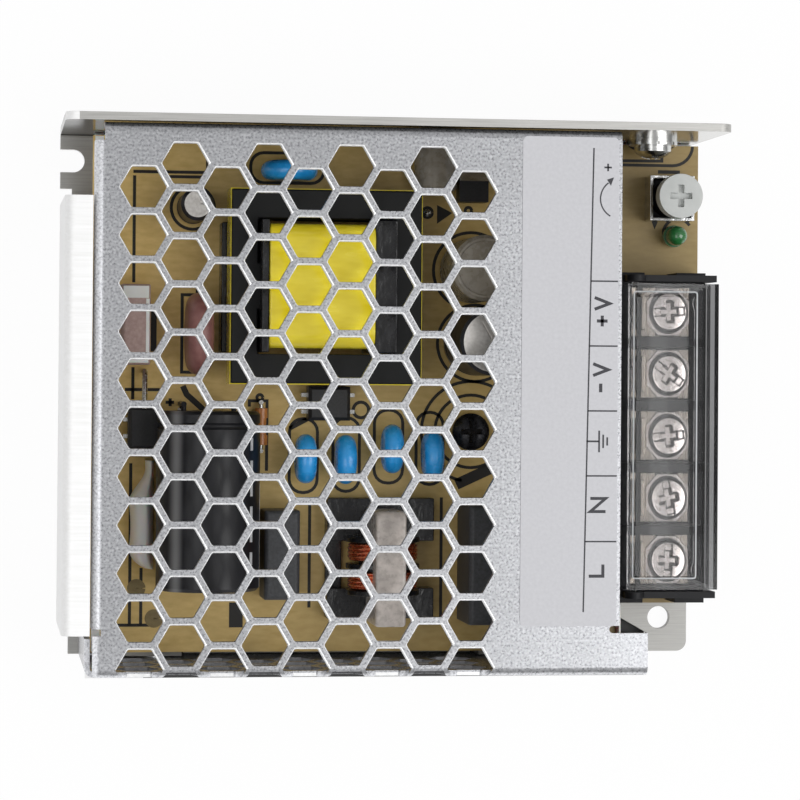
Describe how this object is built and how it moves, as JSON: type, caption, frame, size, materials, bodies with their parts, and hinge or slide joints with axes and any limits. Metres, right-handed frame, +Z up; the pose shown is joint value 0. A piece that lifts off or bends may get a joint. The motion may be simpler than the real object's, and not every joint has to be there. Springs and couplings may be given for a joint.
{
  "type": "switching power supply",
  "caption": "Enclosed switching power supply: vented folded metal case round a populated circuit board, with screw terminals under a clear hinged lid.",
  "frame": {"origin": "centre of the case's underside", "axes": "+Z up out of the base, +X towards the terminal end, +Y towards the chassis's long wall"},
  "size_m": [0.099, 0.082, 0.03],
  "materials": {
    "bare_aluminium": "brushed",
    "zinc_sheet": "galvanised, satin",
    "label_film": "satin",
    "white_film": "smooth",
    "board": "varnished",
    "brass_post": "turned",
    "black_screw": "gloss",
    "bright_steel": "nickel plated",
    "black_moulding": "moulded",
    "clear_moulding": "polished",
    "plated_contact": "nickel plated",
    "nickel_screw": "nickel plated",
    "nickel_washer": "nickel plated",
    "trimmer_metal": "tinned",
    "white_knob": "moulded",
    "green_lens": "translucent",
    "dark_ferrite": "ground",
    "black_spool": "moulded",
    "yellow_tape": "film tape",
    "black_sleeve": "shrink sleeve",
    "white_sealant": "cured",
    "taupe_sleeve": "shrink sleeve",
    "grey_ferrite": "coated",
    "copper_wire": "enamelled",
    "grey_box": "moulded",
    "blue_coating": "dipped",
    "pink_coating": "dipped",
    "pale_box": "moulded",
    "black_package": "moulded",
    "resistor_lacquer": "lacquered"
  },
  "bodies": {
    "supply": {"chassis": "bare_aluminium", "cover": "zinc_sheet", "label": "label_film", "insulation_sheet": "white_film", "pcb": "board", "pcb_standoffs": "brass_post", "pcb_screws": "black_screw", "cover_screws": "zinc_sheet", "ground_screw": "bright_steel", "ground_washer": "bright_steel", "terminal_housing": "black_moulding", "contact_plates": "plated_contact", "trimmer_body": "trimmer_metal", "indicator_led": "green_lens", "transformer_core": "dark_ferrite", "transformer_bobbin": "black_spool", "transformer_winding": "yellow_tape", "core_tape": "yellow_tape", "bulk_capacitor": "black_sleeve", "adhesive_bead": "white_sealant", "output_capacitor": "black_sleeve", "filter_capacitor": "taupe_sleeve", "aux_capacitor": "taupe_sleeve", "start_capacitor": "black_sleeve", "choke_core": "grey_ferrite", "choke_bobbin": "black_spool", "choke_winding": "copper_wire", "line_capacitor": "grey_box", "input_capacitor": "grey_box", "disc_capacitors": "blue_coating", "thermistor": "pink_coating", "film_capacitor": "pale_box", "bridge_rectifier": "black_package", "output_rectifier": "black_package", "optocoupler": "black_package", "resistor": "resistor_lacquer"},
    "lid": {"terminal_lid": "clear_moulding"},
    "knob": {"trimmer_knob": "white_knob"},
    "clamp_1": {"clamp_washer_1": "nickel_washer"},
    "screw_1": {"terminal_screw_1": "nickel_screw"},
    "clamp_2": {"clamp_washer_2": "nickel_washer"},
    "screw_2": {"terminal_screw_2": "nickel_screw"},
    "clamp_3": {"clamp_washer_3": "nickel_washer"},
    "screw_3": {"terminal_screw_3": "nickel_screw"},
    "clamp_4": {"clamp_washer_4": "nickel_washer"},
    "screw_4": {"terminal_screw_4": "nickel_screw"},
    "clamp_5": {"clamp_washer_5": "nickel_washer"},
    "screw_5": {"terminal_screw_5": "nickel_screw"}
  },
  "joints": [
    {"name": "lid_hinge", "type": "hinge", "parent": "supply", "child": "lid", "pos_m": [0.0368, -0.0058, 0.02075], "axis": [0, -1, 0], "range_deg": [0, 100]},
    {"name": "knob_turn", "type": "hinge", "parent": "supply", "child": "knob", "pos_m": [0.0444, 0.0309, 0.0138], "axis": [0, 0, 1], "range_deg": [-135, 135]},
    {"name": "clamp_1_lift", "type": "slide", "parent": "supply", "child": "clamp_1", "axis": [0, 0, 1], "range_m": [0, 0.0024]},
    {"name": "screw_1_turn", "type": "hinge", "parent": "clamp_1", "child": "screw_1", "pos_m": [0.0425, 0.0132, 0.0146], "axis": [0, 0, 1], "range_deg": [0, 1450]},
    {"name": "clamp_2_lift", "type": "slide", "parent": "supply", "child": "clamp_2", "axis": [0, 0, 1], "range_m": [0, 0.0024]},
    {"name": "screw_2_turn", "type": "hinge", "parent": "clamp_2", "child": "screw_2", "pos_m": [0.0425, 0.0037, 0.0146], "axis": [0, 0, 1], "range_deg": [0, 1450]},
    {"name": "clamp_3_lift", "type": "slide", "parent": "supply", "child": "clamp_3", "axis": [0, 0, 1], "range_m": [0, 0.0024]},
    {"name": "screw_3_turn", "type": "hinge", "parent": "clamp_3", "child": "screw_3", "pos_m": [0.0425, -0.0058, 0.0146], "axis": [0, 0, 1], "range_deg": [0, 1450]},
    {"name": "clamp_4_lift", "type": "slide", "parent": "supply", "child": "clamp_4", "axis": [0, 0, 1], "range_m": [0, 0.0024]},
    {"name": "screw_4_turn", "type": "hinge", "parent": "clamp_4", "child": "screw_4", "pos_m": [0.0425, -0.0153, 0.0146], "axis": [0, 0, 1], "range_deg": [0, 1450]},
    {"name": "clamp_5_lift", "type": "slide", "parent": "supply", "child": "clamp_5", "axis": [0, 0, 1], "range_m": [0, 0.0024]},
    {"name": "screw_5_turn", "type": "hinge", "parent": "clamp_5", "child": "screw_5", "pos_m": [0.0425, -0.0248, 0.0146], "axis": [0, 0, 1], "range_deg": [0, 1450]}
  ],
  "couplings": [
    {"joint": "screw_1_turn", "follows": "clamp_1_lift", "rad_per_m": 10472},
    {"joint": "screw_2_turn", "follows": "clamp_2_lift", "rad_per_m": 10472},
    {"joint": "screw_3_turn", "follows": "clamp_3_lift", "rad_per_m": 10472},
    {"joint": "screw_4_turn", "follows": "clamp_4_lift", "rad_per_m": 10472},
    {"joint": "screw_5_turn", "follows": "clamp_5_lift", "rad_per_m": 10472}
  ]
}
